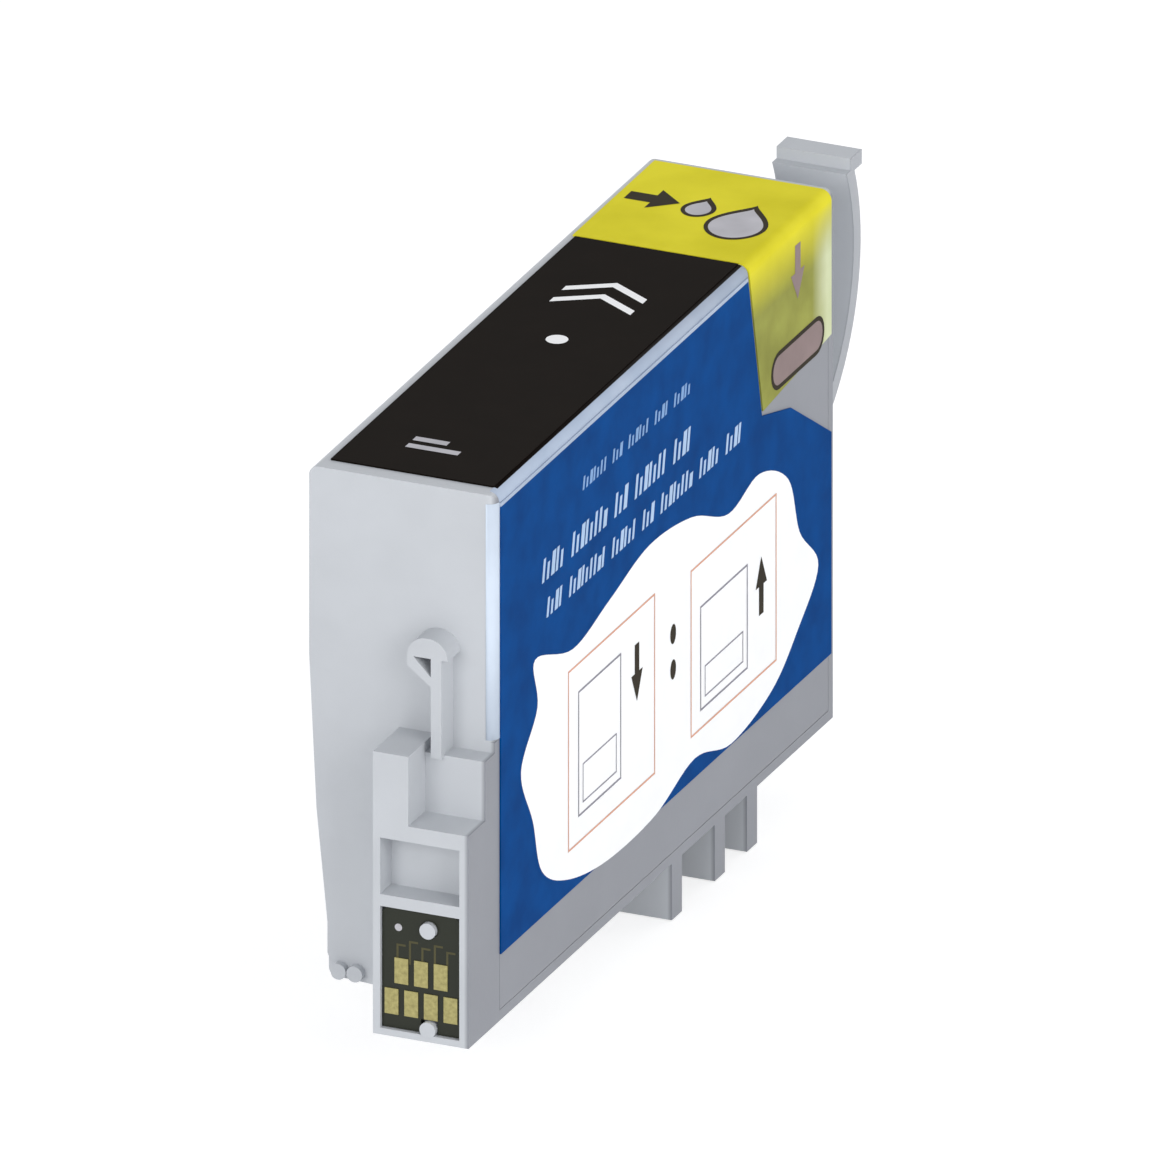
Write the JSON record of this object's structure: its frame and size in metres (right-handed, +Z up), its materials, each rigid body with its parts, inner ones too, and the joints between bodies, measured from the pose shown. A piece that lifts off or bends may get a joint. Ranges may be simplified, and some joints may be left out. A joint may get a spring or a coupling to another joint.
{
  "type": "inkjet ink cartridge",
  "caption": "Slim upright ink tank for an inkjet printer: moulded case with latch lever, contact chip, sealed valve port, paper labels and a yellow vent tape.",
  "frame": {"origin": "centre of the supply nozzle's mouth, on the plane that the cartridge stands on", "axes": "+X across the width towards the labelled side, +Y from the chip to the lever, +Z up, so that the nozzle points along -Z"},
  "size_m": [0.0144, 0.0702, 0.0454],
  "materials": {
    "case_plastic": "satin moulded",
    "cover_plastic": "satin moulded",
    "clear_film": "clear film",
    "port_foil": "satin foil",
    "vent_membrane": "matte",
    "seal_rubber": "matte",
    "valve_plastic": "satin",
    "spring_steel": "drawn wire",
    "filter_mesh": "fine mesh",
    "circuit_board": "dark solder mask",
    "gold_contacts": "dull gold plate",
    "chip_resin": "matte resin",
    "black_label": "satin print",
    "blue_label": "satin print",
    "yellow_tape": "satin film"
  },
  "bodies": {
    "cartridge": {"tank_case": "case_plastic", "side_cover": "cover_plastic", "tank_film": "clear_film", "air_channel_film": "clear_film", "port_film": "port_foil", "vent_sheet": "vent_membrane", "supply_seal": "seal_rubber", "supply_valve_spring": "spring_steel", "valve_membrane": "seal_rubber", "membrane_spring": "spring_steel", "valve_cover": "valve_plastic", "ink_filter": "filter_mesh", "chip_board": "circuit_board", "chip_contacts": "gold_contacts", "chip_die": "chip_resin", "top_label": "black_label", "side_label": "blue_label", "pull_tape": "yellow_tape"},
    "valve": {"supply_valve": "valve_plastic"}
  },
  "joints": [
    {"name": "valve_lift", "type": "slide", "parent": "cartridge", "child": "valve", "axis": [0, 0, 1], "range_m": [0, 0.0016], "stiffness_N_per_m": 120, "springref_m": -0.002, "deforming": ["supply_valve_spring"]}
  ]
}
